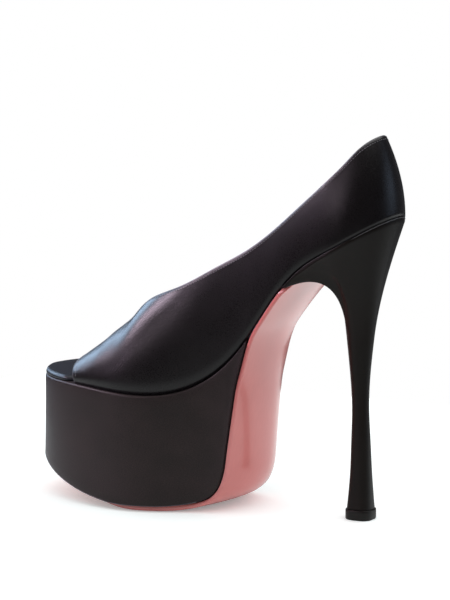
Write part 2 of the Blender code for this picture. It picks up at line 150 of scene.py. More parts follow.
# The heel: its stem, and how the flare leaves the stem and meets the seat
STEM_COLUMNS = ("height", "back", "front", "half", "square")
STEM = (
    (5.3, 17.3, 29.9, 6.3, 2.9),
    (22.0, 18.4, 28.8, 5.2, 2.5),
    (40.0, 19.3, 28.5, 4.6, 2.2),
    (55.0, 20.0, 28.4, 4.25, 2.0),
    (72.0, 19.5, 29.5, 5.0, 2.0),
    (89.0, 17.9, 31.2, 6.8, 2.0),
)
STEM_TOP = STEM[-1][0]
STEM_FRONT_ANGLE = math.radians(48.0)
HEEL_WING, HEEL_BREAST, WING_SHARE, WING_INSET = 54.2, 46.3, 0.86, 4.0
WING_INSET_LEAD, WING_INSET_BLEND = 3.0, 6.5
HEEL_LIP, HEEL_INSET = 2.0, 0.3
LIP_TIP, LIP_SIDE_RATE, LIP_BREAST_RATE = 0.3, 6, 12  # share of the lip left at a wing, and how fast it grows
LIP_LEAN = 0.8  # at the wings the lip leans back by this share of its depth
QUARTER = 0.25  # of the way round the heel's side
FLARE_COLUMNS = ("turn", "pull", "ahead", "out", "up")
FLARE = (
    (-0.25, 60.0, 26.0, 0.0, -4.0),
    (-0.08, 72.0, 44.0, 3.0, -15.0),
    (0.0, 81.3, 56.9, 6.0, -25.3),
    (0.25, 62.0, 18.0, 18.0, 2.0),
    (0.5, 56.0, 0.0, 22.0, 32.0),
    (0.75, 58.0, -13.0, 13.0, 52.0),
    (1.0, 61.0, -21.0, 0.0, 61.0),
)

# Finish work that only shows here
RIM_RADIUS = 0.72  # folded edge of the top line and the toe opening
RIM_SWELL = 0.12  # the fold is thicker than that by this much
FOLD_STOP = 0.2  # the collar's fold turns this far behind the throat
STITCH_PITCH, STITCH_LENGTH, STITCH_RADIUS = 1.5, 1.0, 0.15
STITCH_DROP = 2.0  # the stitched row lies this far from the folded edge
STITCH_START, STITCH_AHEAD = 0.5, 0.3  # where a row starts, and the length that gives a stitch its direction
STITCH_RISE, STITCH_SUNK = 0.12, 0.03  # a stitch rises in its middle and its ends sink into the cloth
STITCH_SIDES, STITCH_FLATNESS = 6, 0.8
STITCH_SWELL = ((0.0, 0.35), (0.2, 0.9), (0.5, 1.0), (0.8, 0.9), (1.0, 0.35))  # share of length, of radius
TOE_SEAM_ROWS, TOE_SEAM_FROM = 8, 3  # rows of the upper behind the toe edge, and the seam's first level
HEEL_FOLD = 0.2  # rolled edge where the heel's cover turns over its seat
HEEL_FOLD_FROM, HEEL_FOLD_BLEND = 0.3, 0.35  # turns where it comes out of the cover
HEEL_FOLD_SINK, HEEL_FOLD_DEPTH = 0.5, 0.7  # how far it starts inside, and its depth below the seat
WALL_FOLD, WALL_FOLD_SUNK = 0.22, 0.1  # rolled edge where the platform's cover turns under

# The frame places the part's stations in the world
ACROSS_SHIFT = (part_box("heel_tip")[0][0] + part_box("heel_tip")[1][0]) / 2 / MM
ALONG_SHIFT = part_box("upper")[1][1] / MM + HEEL_BACK

SIDES = {"outer": 1.0, "inner": -1.0}


def spline(rows, columns, key, value):
    """A natural cubic curve through one column of a table, as a function of another column."""
    x = np.array([row[columns.index(key)] for row in rows], float)
    y = np.array([row[columns.index(value)] for row in rows], float)
    if x[0] > x[-1]:
        x, y = x[::-1], y[::-1]
    step = np.diff(x)
    slope = np.diff(y) / step
    size = len(x)
    matrix = np.eye(size)
    right = np.zeros(size)
    for i in range(1, size - 1):
        matrix[i, i - 1 : i + 2] = step[i - 1], 2 * (step[i - 1] + step[i]), step[i]
        right[i] = 6 * (slope[i] - slope[i - 1])
    bend = np.linalg.solve(matrix, right)

    def at(t):
        i = int(np.clip(np.searchsorted(x, t) - 1, 0, size - 2))
        h, a, b = step[i], x[i + 1] - t, t - x[i]
        curved = (bend[i] * a**3 + bend[i + 1] * b**3) / (6 * h)
        straight = (y[i] / h - bend[i] * h / 6) * a + (y[i + 1] / h - bend[i + 1] * h / 6) * b
        return float(curved + straight)

    return at


edge_height = spline(LAST, LAST_COLUMNS, "station", "edge")
full_half = {side: spline(LAST, LAST_COLUMNS, "station", side) for side in SIDES}
top_height = spline(TOP, TOP_COLUMNS, "station", "height")
spread_squared = spline([(s, z, spread**2) for s, z, spread in TOP], TOP_COLUMNS, "station", "spread")
ridge_height = spline(RIDGE, RIDGE_COLUMNS, "station", "height")
stem_at = {key: spline(STEM, STEM_COLUMNS, "height", key) for key in STEM_COLUMNS[1:]}
flare_at = {key: spline(FLARE, FLARE_COLUMNS, "turn", key) for key in FLARE_COLUMNS[1:]}


def ease(t):
    """Smooth step from 0 to 1."""
    t = min(1.0, max(0.0, t))
    return t * t * (3 - 2 * t)


def swing(station):
    """Sideways place of the shoe's middle line."""
    return TOE_SWING * ease((station - SWING_FROM) / (TOE_TIP - SWING_FROM))


def half_width(station, side):
    """Half width of the last at its edge, rounded off at heel and toe."""
    width = full_half[side](station)
    from_back = (station - HEEL_BACK) / HEEL_ROUND
    if from_back < 1:
        width *= math.sqrt(max(0.0, 1 - (1 - from_back) ** 2))
    into_toe = (station - TOE_TIP) / TOE_ROUND[side] + 1
    if into_toe > 0:
        width *= math.sqrt(max(0.0, 1 - into_toe**2))
    return width


def world(station, across, height):
    """A place on the shoe in metres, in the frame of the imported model."""
    return ((across + ACROSS_SHIFT) * MM, (ALONG_SHIFT - station) * MM, height * MM)


def stations_between(first, last, count, power=1.0):
    """Stations from first to last; a power above 1 crowds them towards the first."""
    return [first + (last - first) * (i / count) ** power for i in range(count + 1)]


def eased_stations(first, last, count):
    """Stations from first to last that crowd towards both ends."""
    return [first + (last - first) * (1 - math.cos(math.pi * i / count)) / 2 for i in range(count + 1)]


# Making pieces


WELD, SLIVER = 0.00001, 0.000003  # metres within which points are joined and thin faces removed


def make_piece(name, points, faces, material, uvs=None, node=None, smooth_deg=50.0):
    """One piece of the shoe, riding on the only body; uvs are millimetres along and round the cloth."""
    mesh = bpy.data.meshes.new(name)
    bm = bmesh.new()
    verts = [bm.verts.new(p) for p in points]
    layer = bm.loops.layers.uv.new("cloth")
    for face in faces:
        corners = list(dict.fromkeys(face))
        if len(corners) < 3:
            continue
        made = bm.faces.new([verts[i] for i in corners])
        if uvs is not None:
            for loop, i in zip(made.loops, corners):
                loop[layer].uv = uvs[i]
    bmesh.ops.remove_doubles(bm, verts=bm.verts, dist=WELD)
    bmesh.ops.dissolve_degenerate(bm, edges=bm.edges, dist=SLIVER)
    bmesh.ops.recalc_face_normals(bm, faces=bm.faces)
    bm.to_mesh(mesh)
    bm.free()
    mesh.shade_smooth()
    mesh.set_sharp_from_angle(angle=math.radians(smooth_deg))
    mesh.materials.append(material)
    piece = bpy.data.objects.new(name, mesh)
    bpy.context.scene.collection.objects.link(piece)
    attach(piece, "root")
    if node:
        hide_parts(node)
    return piece


def loft_faces(rings):
    """Quads between closed rings of the same count, with both ends capped."""
    faces = []
    count = len(rings[0])
    for a, b in zip(rings, rings[1:]):
        faces += [(a[j], a[(j + 1) % count], b[(j + 1) % count], b[j]) for j in range(count)]
    faces.append(tuple(rings[0])[::-1])
    faces.append(tuple(rings[-1]))
    return faces


def add_ring(points, rings, ring):
    """Add a ring of places to the points, and its numbers to the rings."""
    rings.append(range(len(points), len(points) + len(ring)))
    points += ring


def run_along(path):
    """Millimetres along a path of world places, from its start."""
    return np.concatenate([[0.0], np.cumsum(np.linalg.norm(np.diff(path, axis=0), axis=1))]) / MM


def at_run(distance, run, rows):
    """A place or normal at a distance along a path, from the rows that belong to the path."""
    return np.array([np.interp(distance, run, rows[:, k]) for k in range(3)])


def ring_uvs(points, rings):
    """Millimetres along the loft and round each ring, for the weave."""
    uvs = [None] * len(points)
    along = 0.0
    middle = None
    for ring in rings:
        place = np.array([points[i] for i in ring])
        centre = place.mean(axis=0)
        along += 0.0 if middle is None else np.linalg.norm(centre - middle) / MM
        middle = centre
        steps = np.linalg.norm(np.diff(place, axis=0), axis=1) / MM
        around = np.concatenate([[0.0], np.cumsum(steps)])
        for i, u in zip(ring, around):
            uvs[i] = (along, float(u))
    return uvs


def wall_uvs(points, rings, count):
    """Millimetres along each wall from the toe, and up it; each wall has count points of a ring."""
    uvs = [None] * len(points)
    run, before = np.zeros(len(rings[0])), None
    for ring in rings:
        place = np.array([points[i] for i in ring]) / MM
        run += 0.0 if before is None else np.linalg.norm(place - before, axis=1)
        before = place
        for j, i in enumerate(ring):
            way = -1.0 if count <= j < 2 * count else 1.0
            uvs[i] = (way * run[j], place[j][2] if j < 2 * count else place[j][0])
    return uvs


def tube(name, path, radius, material, closed=False, sides=8):
    """A round cord of cloth along a path of world places."""
    path = [Vector(p) for p in path]
    points, rings = [], []
    up = Vector((0.0, 0.0, 1.0))
    for i, place in enumerate(path):
        ahead = path[(i + 1) % len(path)] if closed or i + 1 < len(path) else place
        behind = path[i - 1] if closed or i > 0 else place
        run = (ahead - behind).normalized()
        side = run.cross(up)
        side = side.normalized() if side.length > 1e-6 else Vector((1.0, 0.0, 0.0))
        rise = side.cross(run).normalized()
        turns = [2 * math.pi * k / sides for k in range(sides)]
        ring = [place + (side * math.cos(t) + rise * math.sin(t)) * radius * MM for t in turns]
        add_ring(points, rings, [tuple(p) for p in ring])
    faces = loft_faces(rings)
    if closed:
        first, last = rings[0], rings[-1]
        faces = faces[:-2]
        faces += [(last[j], last[(j + 1) % sides], first[(j + 1) % sides], first[j]) for j in range(sides)]
    return make_piece(name, points, faces, material, ring_uvs(points, rings))


def stitches(name, path, outward, material):
    """A row of sewn stitches that lie on the cloth along a path; outward gives the cloth's normals."""
    path, outward = np.array(path), np.array(outward)
    run = run_along(path)
    points, faces = [], []
    for start in np.arange(STITCH_START, run[-1] - STITCH_LENGTH, STITCH_PITCH):
        rings = []
        for share, swell in STITCH_SWELL:
            at = start + STITCH_LENGTH * share
            place, normal = at_run(at, run, path), at_run(at, run, outward)
            normal /= np.linalg.norm(normal)
            way = at_run(at + STITCH_AHEAD, run, path) - place
            way /= max(np.linalg.norm(way), 1e-12)
            side = np.cross(way, normal)
            lift = place + normal * (STITCH_RISE * math.sin(math.pi * share) - STITCH_SUNK) * MM
            ring = []
            for k in range(STITCH_SIDES):
                turn = 2 * math.pi * k / STITCH_SIDES
                arm = side * math.cos(turn) + normal * math.sin(turn) * STITCH_FLATNESS
                ring.append(tuple(lift + arm * STITCH_RADIUS * swell * MM))
            add_ring(points, rings, ring)
        faces += loft_faces(rings)
    return make_piece(name, points, faces, material)


# Materials


TONE_RAMP, TONE_SPAN = (0.32, 0.68), (0.4, 0.6)  # tones that carry the two colours, and the two roughnesses


def add_node(tree, kind, inputs=(), **settings):
    """A shader node with its settings, and its inputs as values or as links from other nodes' outputs."""
    node = tree.nodes.new(kind)
    for key, value in settings.items():
        setattr(node, key, value)
    for key, value in dict(inputs).items():
        if isinstance(value, bpy.types.NodeSocket):
            tree.links.new(value, node.inputs[key])
        else:
            node.inputs[key].default_value = value
    return node


def make_group(name, outputs):
    """An empty effect with a Vector input in millimetres and number outputs."""
    tree = bpy.data.node_groups.new(name, "ShaderNodeTree")
    tree.interface.new_socket("Vector", in_out="INPUT", socket_type="NodeSocketVector")
    for output in outputs:
        tree.interface.new_socket(output, in_out="OUTPUT", socket_type="NodeSocketFloat")
    return tree, tree.nodes.new("NodeGroupInput").outputs["Vector"], tree.nodes.new("NodeGroupOutput")


def stretched_noise(tree, vector, stretch, detail=2.0):
    """Noise with its own scale in each direction, per millimetre."""
    mapped = add_node(tree, "ShaderNodeMapping", {"Vector": vector, "Scale": stretch})
    settings = {"Vector": mapped.outputs[0], "Scale": 1.0, "Detail": detail, "Roughness": 0.55}
    return add_node(tree, "ShaderNodeTexNoise", settings).outputs[0]


def weighted_sum(tree, terms):
    """Sum of outputs, each times a weight."""
    total = None
    for output, weight in terms:
        part = add_node(tree, "ShaderNodeMath", {0: output, 1: weight}, operation="MULTIPLY").outputs[0]
        if total is not None:
            part = add_node(tree, "ShaderNodeMath", {0: total, 1: part}, operation="ADD").outputs[0]
        total = part
    return total


def weave_group():
    """Satin: long floating threads one way, a tighter cross thread, and slow changes of tone."""
    tree, vector, out = make_group("satin_weave", ("Height", "Tone"))
    floats = stretched_noise(tree, vector, (0.9, 6.0, 1.0), 2.0)
    cross = stretched_noise(tree, vector, (5.0, 1.4, 1.0), 2.0)
    cloud = stretched_noise(tree, vector, (0.035, 0.05, 1.0), 2.0)
    slubs = stretched_noise(tree, vector, (1.6, 2.6, 1.0), 2.0)
    height = weighted_sum(tree, ((floats, 0.55), (cross, 0.3), (slubs, 0.15)))
    tone = weighted_sum(tree, ((floats, 0.3), (slubs, 0.5), (cloud, 0.2)))
    tree.links.new(height, out.inputs["Height"])
    tree.links.new(tone, out.inputs["Tone"])
    return tree


def grain_group():
    """Polished leather: fine pores and slow changes of tone along the hide."""
    tree, vector, out = make_group("leather_grain", ("Height", "Tone"))
    pores = add_node(tree, "ShaderNodeTexVoronoi", {"Vector": vector, "Scale": 1.7}).outputs["Distance"]
    fibre = stretched_noise(tree, vector, (0.25, 0.9, 1.0), 4.0)
    cloud = stretched_noise(tree, vector, (0.03, 0.045, 1.0), 3.0)
    height = weighted_sum(tree, ((pores, 0.5), (fibre, 0.5)))
    tone = weighted_sum(tree, ((fibre, 0.35), (cloud, 0.65)))
    tree.links.new(height, out.inputs["Height"])
    tree.links.new(tone, out.inputs["Tone"])
    return tree


WEAVE, GRAIN = weave_group(), grain_group()


def woven(name, effect, dark, light, rough, bump, constants, depth=0.1):
    """A surface whose colour, roughness and relief come from one of the shared effects."""
    material = bpy.data.materials.new(name)
    material.use_nodes = True
    tree = material.node_tree
    shader = tree.nodes["Principled BSDF"]
    cloth = add_node(tree, "ShaderNodeUVMap", uv_map="cloth").outputs[0]
    pattern = add_node(tree, "ShaderNodeGroup", node_tree=effect)
    tree.links.new(cloth, pattern.inputs["Vector"])
    tone = pattern.outputs["Tone"]
    ramp = add_node(tree, "ShaderNodeValToRGB", {"Fac": tone})
    for element, place, colour in zip(ramp.color_ramp.elements, TONE_RAMP, (dark, light)):
        element.position = place
        element.color = (*colour, 1.0)
    spread = {"Value": tone, "From Min": TONE_SPAN[0], "From Max": TONE_SPAN[1]}
    spread.update({"To Min": rough[0], "To Max": rough[1]})
    gloss = add_node(tree, "ShaderNodeMapRange", spread).outputs[0]
    relief = {"Height": pattern.outputs["Height"], "Strength": bump, "Distance": depth * MM}
    tree.links.new(ramp.outputs["Color"], shader.inputs["Base Color"])
    tree.links.new(gloss, shader.inputs["Roughness"])
    tree.links.new(add_node(tree, "ShaderNodeBump", relief).outputs[0], shader.inputs["Normal"])
    for socket, value in constants.items():
        shader.inputs[socket].default_value = value
    return material


def satin(name, dark, light, rough, gloss, bump=0.65):
    """Black satin: a soft broad gloss and a faint cool sheen."""
    constants = {
        "Specular IOR Level": gloss,
        "Sheen Weight": 0.04,
        "Sheen Roughness": 0.4,
        "Sheen Tint": (0.62, 0.64, 0.8, 1.0),
    }
    return woven(name, WEAVE, dark, light, rough, bump, constants, 0.12)


UPPER_SATIN = satin("upper_satin", (0.003, 0.0022, 0.0026), (0.008, 0.006, 0.007), (0.24, 0.42), 0.28)
INSOLE_SATIN = satin("insole_satin", (0.004, 0.005, 0.008), (0.009, 0.010, 0.014), (0.32, 0.42), 0.2)
# The platform's cover is black satin like the upper. The lighter, purple-tinted colour is painted reflection
# of mauve light along its side.
PLATFORM_SATIN = satin("platform_satin", (0.003, 0.0022, 0.0022), (0.034, 0.0225, 0.0215), (0.38, 0.54), 0.24)
HEEL_SATIN = satin("heel_satin", (0.0012, 0.0008, 0.0006), (0.0110, 0.0066, 0.0048), (0.34, 0.48), 0.16)
# The folded edges are the same black satin as the upper. Their lighter grey colour is a painted highlight:
# the light line that grazing light puts along collar, toe, heel and platform folds.
EDGE_HIGHLIGHT_SATIN = satin("edge_highlight_satin", (0.050, 0.048, 0.053), (0.085, 0.082, 0.090), (0.30, 0.40), 0.5, 0.3)
THREAD = satin("stitch_thread", (0.120, 0.114, 0.124), (0.220, 0.210, 0.228), (0.4, 0.5), 0.6, 0.1)
LINING = woven("lining", GRAIN, (0.010, 0.009, 0.009), (0.022, 0.020, 0.020), (0.5, 0.62), 0.25, {})
LEATHER_POLISH = {"Coat Weight": 0.9, "Coat Roughness": 0.15}
LEATHER = woven(
    "sole_leather", GRAIN, (0.60, 0.166, 0.153), (0.66, 0.187, 0.172), (0.30, 0.36), 0.06, LEATHER_POLISH
)
DULL = {"Specular IOR Level": 0.25}
TIP = woven("tip_plastic", GRAIN, (0.003, 0.0025, 0.002), (0.008, 0.006, 0.0045), (0.34, 0.46), 0.15, DULL)


# The upper


UPPER_LEVELS = 36
HEEL_ROWS, COLLAR_ROWS, THROAT_ROWS, VAMP_ROWS = 26, 48, 26, 20
HEEL_CROWD, THROAT_CROWD = 2.0, 1.7  # how strongly rows crowd towards the back and towards the throat
CROWD_FROM = 122.0  # station from which they crowd towards the throat
OPENING_CURVE = 1.5  # power with which the toe edge bulges forward up its arch
TUCK_LIMIT = 0.2  # the tuck takes at most this share of the width


def counter_lean(station):
    """How far forward the top line stands of the edge below it."""
    return COUNTER_LEAN * (1 - ease((station - HEEL_BACK) / COUNTER_REACH))


def section_arch(station):
    """Rise of the section's arch above the edge, and the arch angle at the top line."""
    if station >= THROAT:
        return ridge_height(station) - edge_height(station), math.pi / 2
    top = station + counter_lean(station)
    spread = math.sqrt(max(0.0, spread_squared(top)))
    share = (1 - spread**ARCH_SPREAD) ** (1 / ARCH_RISE)
    rise = (top_height(top) - edge_height(station)) / share
    return rise, math.asin(min(1.0, share ** (ARCH_RISE / 2)))


def upper_point(station, side, level):
    """A point on the outside of the upper; level runs from 0 at the sole to 1 at the top line or ridge."""
    arch_angle = section_arch(station)[1] * level
    forward = ease((station - (TOE_OPENING - OPENING_BLEND)) / OPENING_BLEND)
    station += OPENING_BULGE * forward * math.sin(arch_angle) ** OPENING_CURVE
    rise, limit = section_arch(station)
    angle = limit * level
    height = rise * math.sin(angle) ** (2 / ARCH_RISE)
    width = half_width(station, side) * max(0.0, math.cos(angle)) ** (2 / ARCH_SPREAD)
    tuck = FEATHER_TUCK * ease((station - HEEL_BACK) / COUNTER_REACH)
    tuck *= max(0.0, 1 - height / FEATHER_RISE) ** 2
    width -= min(tuck, TUCK_LIMIT * width)
    top = rise * math.sin(limit) ** (2 / ARCH_RISE)
    lean = counter_lean(station) * (height / top) ** COUNTER_CURVE
    return world(station + lean, swing(station) + SIDES[side] * width, edge_height(station) + height)


def upper_stations():
    """Stations of the upper's rows, closest where its outline turns."""
    turn = HEEL_BACK + HEEL_ROUND
    stations = stations_between(HEEL_BACK, turn, HEEL_ROWS, HEEL_CROWD)
    stations += stations_between(turn, CROWD_FROM, COLLAR_ROWS)[1:]
    for i in range(1, THROAT_ROWS + 1):
        left = (1 - i / THROAT_ROWS) ** THROAT_CROWD
        stations.append(THROAT - (THROAT - CROWD_FROM) * left)
    return stations + stations_between(THROAT, TOE_OPENING, VAMP_ROWS)[1:]


def upper_grid():
    """Rows of points over the upper's outside, from the inner toe edge round the heel to the outer one."""
    levels = [j / UPPER_LEVELS for j in range(UPPER_LEVELS + 1)]
    stations = upper_stations()
    inner = [[upper_point(s, "inner", level) for level in levels] for s in reversed(stations)]
    outer = [[upper_point(s, "outer", level) for level in levels] for s in stations[1:]]
    return np.array(inner + outer)


def grid_normals(grid):
    """Outward normals of a grid of points."""
    along, up = np.gradient(grid, axis=0), np.gradient(grid, axis=1)
    normal = np.cross(up, along)
    size = np.linalg.norm(normal, axis=2, keepdims=True)
    normal = normal / np.maximum(size, 1e-15)
    middle = grid.reshape(-1, 3).mean(axis=0)
    away = np.sum(normal * (grid - middle), axis=2).mean()
    return normal if away > 0 else -normal


def grid_uvs(grid):
    """Millimetres along and up the cloth at each point of a grid."""
    along = np.linalg.norm(np.diff(grid, axis=0), axis=2).mean(axis=1) / MM
    along = np.concatenate([[0.0], np.cumsum(along)])
    up = np.linalg.norm(np.diff(grid, axis=1), axis=2) / MM
    up = np.concatenate([np.zeros((len(grid), 1)), np.cumsum(up, axis=1)], axis=1)
    return [(float(along[i]), float(up[i, j])) for i in range(len(grid)) for j in range(grid.shape[1])]


def grid_faces(rows, columns):
    """Quads over a grid of points."""
    faces = []
    for i in range(rows - 1):
        for j in range(columns - 1):
            a = i * columns + j
            faces.append((a, a + columns, a + columns + 1, a + 1))
    return faces


def thickened(piece, thickness):
    """Give a sheet its real thickness on the inside."""
    shell = piece.modifiers.new("wall", "SOLIDIFY")
    shell.thickness = thickness * MM
    shell.offset = -1.0
    shell.use_even_offset = True
    return shell


def build_upper():
    """Satin upper with its lining, folded edges and stitched rows."""
    grid = upper_grid()
    rows, columns = grid.shape[:2]
    normals = grid_normals(grid)
    build_toe_edge(grid, normals)
    build_top_line(grid, normals)
    points = [tuple(p) for p in grid.reshape(-1, 3)]
    faces = grid_faces(rows, columns)
    upper = make_piece("upper_cover", points, faces, UPPER_SATIN, grid_uvs(grid), "upper")
    upper.data.materials.append(LINING)
    shell = thickened(upper, WALL)
    shell.material_offset = 1
    shell.material_offset_rim = 0
    return upper


def inset_line(grid, normals, picks, depth):
    """Places a depth below the last point of each row, on the outside, with their normals."""
    places, outward = [], []
    for i in picks:
        row = grid[i][::-1]
        run = run_along(row)
        places.append(at_run(depth, run, row))
        outward.append(at_run(depth, run, normals[i][::-1]))
    return places, outward


def shortened(row, depth):
    """A row of points drawn together so that it ends a depth below its last point."""
    run = run_along(row)
    kept = run * (1 - depth / run[-1])
    return at_run(kept, run, row).T


def build_top_line(grid, normals):
    """Folded edge round collar and throat, and a stitched row below; the cloth ends inside the fold."""
    stations = upper_stations()
    open_rows = sum(1 for s in stations if s < THROAT - FOLD_STOP)
    middle = len(stations) - 1
    picks = range(middle - open_rows + 1, middle + open_rows)
    fold, _ = inset_line(grid, normals, picks, RIM_RADIUS)
    inward = [p - normals[i][-1] * WALL / 2 * MM for p, i in zip(fold, picks)]
    tube("collar_fold", inward, RIM_RADIUS + RIM_SWELL, EDGE_HIGHLIGHT_SATIN, closed=True)
    sewn, outward = inset_line(grid, normals, picks, STITCH_DROP)
    stitches("collar_stitches", sewn, outward, THREAD)
    for i in picks:
        grid[i] = shortened(grid[i], RIM_RADIUS)


def build_toe_edge(grid, normals):
    """Folded edge over the toe opening, with a stitched row behind it."""
    first, last = grid[0], grid[-1]
    rim = np.concatenate([last, first[-2::-1]])
    rim_normals = np.concatenate([normals[-1], normals[0][-2::-1]])
    tube("toe_fold", rim - rim_normals * WALL / 2 * MM, RIM_RADIUS + RIM_SWELL, EDGE_HIGHLIGHT_SATIN)
    sewn, outward = [], []
    outer = (grid[: -TOE_SEAM_ROWS - 1 : -1], normals[: -TOE_SEAM_ROWS - 1 : -1])
    inner = (grid[:TOE_SEAM_ROWS], normals[:TOE_SEAM_ROWS])
    for rows, row_normals in (outer, inner):
        line, line_normals = [], []
        for j in range(TOE_SEAM_FROM, grid.shape[1]):
            path = rows[:, j]
            run = run_along(path)
            line.append(at_run(STITCH_DROP, run, path))
            line_normals.append(at_run(STITCH_DROP, run, row_normals[:, j]))
        sewn.append(line)
        outward.append(line_normals)
    path = sewn[0] + sewn[1][-2::-1]
    stitches("toe_stitches", path, outward[0] + outward[1][-2::-1], THREAD)


# Platform, outsole and insole


UNDER_SPACING, UNDER_SMOOTHING = 0.5, 60  # spacing of the fine rows, and rounds that smooth them
TOE_PICKS = (0, 1, 2, 3, 4, 6, 8, 11, 14, 18, 22, 27, 32)  # fine rows kept at the rounded toe
PICK_FROM, PICK_STEP = 37, 4  # behind them every fourth row is kept
UNDER_STEPS = 14
UNDER_ACROSS = [math.cos(math.pi * i / (2 * UNDER_STEPS)) for i in range(2 * UNDER_STEPS + 1)]


def under_path():
    """Rows along the line under platform and waist: station, height, bulge and outward normal."""
    waist = [(s, edge_height(s) - GAP, WAIST_BULGE) for s in WAIST_STATIONS]
    line = np.array(UNDER + tuple(waist), float)
    along = np.concatenate([[0.0], np.cumsum(np.hypot(*np.diff(line[:, :2], axis=0).T))])
    fine = np.arange(0.0, along[-1], UNDER_SPACING)
    rows = np.stack([np.interp(fine, along, column) for column in line.T], axis=1)
    for _ in range(UNDER_SMOOTHING):
        rows[1:-1] = (rows[:-2] + 2 * rows[1:-1] + rows[2:]) / 4
    run = np.gradient(rows[:, :2], axis=0)
    run /= np.linalg.norm(run, axis=1)[:, None]
    normal = np.stack([-run[:, 1], run[:, 0]], axis=1)
    picks = [*TOE_PICKS, *range(PICK_FROM, len(rows) - PICK_STEP, PICK_STEP), len(rows) - 1]
    return rows[picks], normal[picks]


def across_place(station, share, width):
    """Sideways place at a share of the half width, positive to the outer side."""
    return swing(station) + share * width["outer" if share > 0 else "inner"]


def filled(station):
    """Share of the bulge that the platform takes up; along the waist the leather itself is thicker."""
    return ease((station - PLATFORM_TAIL) / PLATFORM_BLEND)


def quarter_round(reach, high, edge, steps=4):
    """Half width and height round the upper corner of a wall."""
    turns = [math.pi / 2 * i / steps for i in range(1, steps + 1)]
    return [(reach - edge * (1 - math.cos(t)), high - edge * (1 - math.sin(t))) for t in turns]


FOLD_END = 97.0  # station where the folded lower edge meets the platform's back
WALL_STEPS = 12
FLARE_FULL, FLARE_FADE = 12.0, 1.7  # half width that has the wall's full flare, and how it fades up the wall
CORNER_SHARE = 0.12  # the lower corner is cut by this share of the edge's radius


def build_platform():
    """Satin-covered block; the cover is drawn over rounded edges above and below."""
    rows, _ = under_path()
    rings, points = [], []
    folds = {side: [] for side in SIDES}
    for station, low, bulge in rows[rows[:, 0] > PLATFORM_TAIL]:
        high = edge_height(station) - GAP
        wide = {side: half_width(station, side) for side in SIDES}
        walls = {}
        for side, sign in SIDES.items():
            half = wide[side]
            flare = PLATFORM_FLARE * min(1.0, half / FLARE_FULL)
            edge = min(PLATFORM_EDGE, 0.3 * (high - low), 0.4 * half)
            corner = CORNER_SHARE * edge
            profile = [(half + flare - 0.5 * edge, low), (half + flare - corner, low + corner)]
            for i in range(WALL_STEPS + 1):
                share = i / WALL_STEPS
                lift = low + 0.5 * edge + (high - low - 1.5 * edge) * share
                profile.append((half + flare * (1 - share) ** FLARE_FADE, lift))
            profile += quarter_round(half, high, edge)
            walls[side] = [world(station, swing(station) + sign * w, z) for w, z in profile]
            if station > FOLD_END:
                out = half + flare - corner - WALL_FOLD_SUNK
                folds[side].append(world(station, swing(station) + sign * out, low + corner))
        below = []
        for share in reversed(UNDER_ACROSS):
            back = bulge * (1 - share**2) * filled(station)
            below.append(world(station - back, across_place(station, share, wide), low))
        add_ring(points, rings, walls["outer"] + walls["inner"][::-1] + below)
    fold = folds["outer"][::-1] + folds["inner"][1:]
    tube("platform_fold", fold, WALL_FOLD, EDGE_HIGHLIGHT_SATIN)
    uvs = wall_uvs(points, rings, len(walls["outer"]))
    faces = loft_faces(rings)
    return make_piece("platform_cover", points, faces, PLATFORM_SATIN, uvs, "platform")


SOLE_SIDES = (1.0, -1.0)
SOLE_ROUND = ((0.6, 0.0), (0.8, 0.12), (0.93, 0.42))  # shares of thickness and slope at the turned edge
SOLE_FACE = 1.0  # layers less deep than this follow the platform's back


def build_outsole():
    """Leather sheet along the floor, up the back of the platform and along the waist to the heel."""
    rows, normals = under_path()
    rings, points = [], []
    for (station, low, bulge), (back, down) in zip(rows, normals):
        inset = SOLE_INSET * ease((station - SOLE_INSET_FROM) / SOLE_BLEND)
        inset += SOLE_TUCK * ease((station - SOLE_TUCK_FROM) / SOLE_BLEND)
        inset += WING_INSET * ease((HEEL_WING + WING_INSET_LEAD - station) / WING_INSET_BLEND)
        thick = SOLE + (SOLE_BALL - SOLE) * ease((station - SOLE_BALL_FROM) / SOLE_BALL_BLEND)
        thick += (SOLE_TOE - SOLE_BALL) * ease((station - SOLE_TOE_FROM) / SOLE_TOE_BLEND)
        bevel = SOLE_EDGE + SOLE_BEVEL * ease((station - SOLE_INSET_FROM) / SOLE_BLEND)
        layers = [(GAP, SOLE_EDGE, UNDER_ACROSS), (GAP + SOLE_EDGE, 0.0, SOLE_SIDES)]
        layers += [(GAP + deep * thick, turned * bevel, SOLE_SIDES) for deep, turned in SOLE_ROUND]
        layers.append((GAP + thick, bevel, UNDER_ACROSS))
        lines = []
        for depth, pull, shares in layers:
            line = []
            for share in shares:
                half = half_width(station, "outer" if share > 0 else "inner")
                reach = max(0.5 * half, half - inset - pull)
                rear = bulge * (1 - (share * reach / max(half, 0.01)) ** 2)
                rear *= filled(station) if depth < SOLE_FACE else 1.0
                across = swing(station) + share * reach
                line.append(world(station - rear + back * depth, across, low + down * depth))
            lines.append(line)
        top, *edges, bottom = lines
        outer_edge = [edge[0] for edge in edges]
        inner_edge = [edge[1] for edge in reversed(edges)]
        add_ring(points, rings, top[::-1] + outer_edge + bottom + inner_edge)
    uvs = ring_uvs(points, rings)
    return make_piece("sole_cover", points, loft_faces(rings), LEATHER, uvs, "outsole")


BOARD_STEPS = 130  # rows along the lasting margin and the insole
MARGIN_ENDS = (HEEL_BACK + 0.6, TOE_TIP - 1.4)
MARGIN_TUCK = 0.4  # the margin ends this far inside the upper
MARGIN_TOP, MARGIN_BOTTOM = 0.08, 0.22  # depths below the last's edge
RIM_OUT_LEAD, RIM_OUT_BLEND = 1.5, 6.0  # where the insole comes out to the edge in front of the opening
ROLL_WIDTH, ROLL_FULL, ROLL_STEPS = 3.4, 6.0, 8  # the insole's rolled rim, full from this half width on


